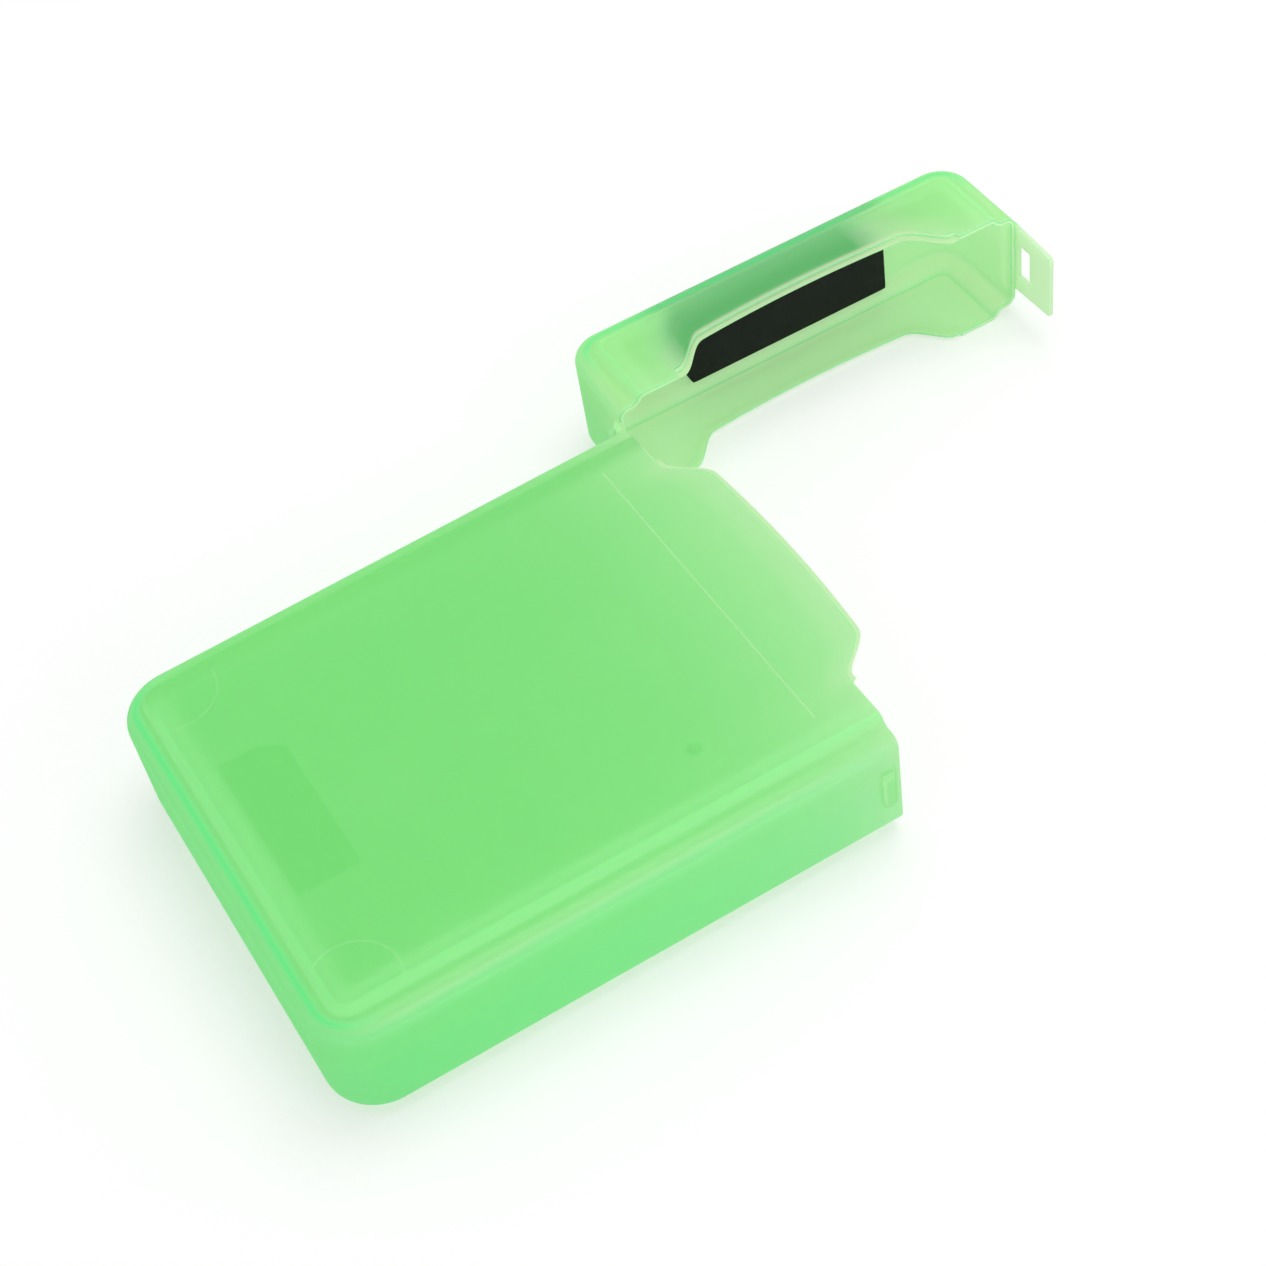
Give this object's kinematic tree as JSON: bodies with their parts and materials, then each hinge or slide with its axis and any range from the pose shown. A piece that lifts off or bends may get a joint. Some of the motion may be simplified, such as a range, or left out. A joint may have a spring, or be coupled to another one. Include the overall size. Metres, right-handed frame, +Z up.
{
  "type": "hard drive case",
  "caption": "Flat translucent moulded box for one hard drive, with a hinged end cap, a snap latch tongue and a foam cushion pad inside the cap.",
  "frame": {"origin": "centre of the lower panel of the box, on the surface that it lies on", "axes": "+X from the closed end of the box to its mouth, +Y towards the hinge side, +Z up through the thickness"},
  "size_m": [0.2534, 0.1498, 0.0338],
  "materials": {
    "green_plastic": "frosted translucent polypropylene",
    "hinge_plastic": "thin folded polypropylene, paler than the walls",
    "black_foam": "fine closed-cell foam with a matt skin",
    "adhesive_film": "double-sided adhesive film"
  },
  "bodies": {
    "case": {"case_body": "green_plastic", "hinge_web": "hinge_plastic"},
    "cap": {"end_cap": "green_plastic", "cushion_pad": "black_foam", "pad_film": "adhesive_film"},
    "latch": {"latch_tongue": "green_plastic"}
  },
  "joints": [
    {"name": "cap_hinge", "type": "hinge", "parent": "case", "child": "cap", "pos_m": [0.0664, 0.0605, 0.0169], "axis": [0, 0, 1], "range_deg": [-89, 91]},
    {"name": "latch_flex", "type": "hinge", "parent": "cap", "child": "latch", "pos_m": [0.18532, 0.06042, 0.0169], "axis": [0, 0, 1], "range_deg": [0, 18], "stiffness_Nm_per_rad": 0.2}
  ]
}
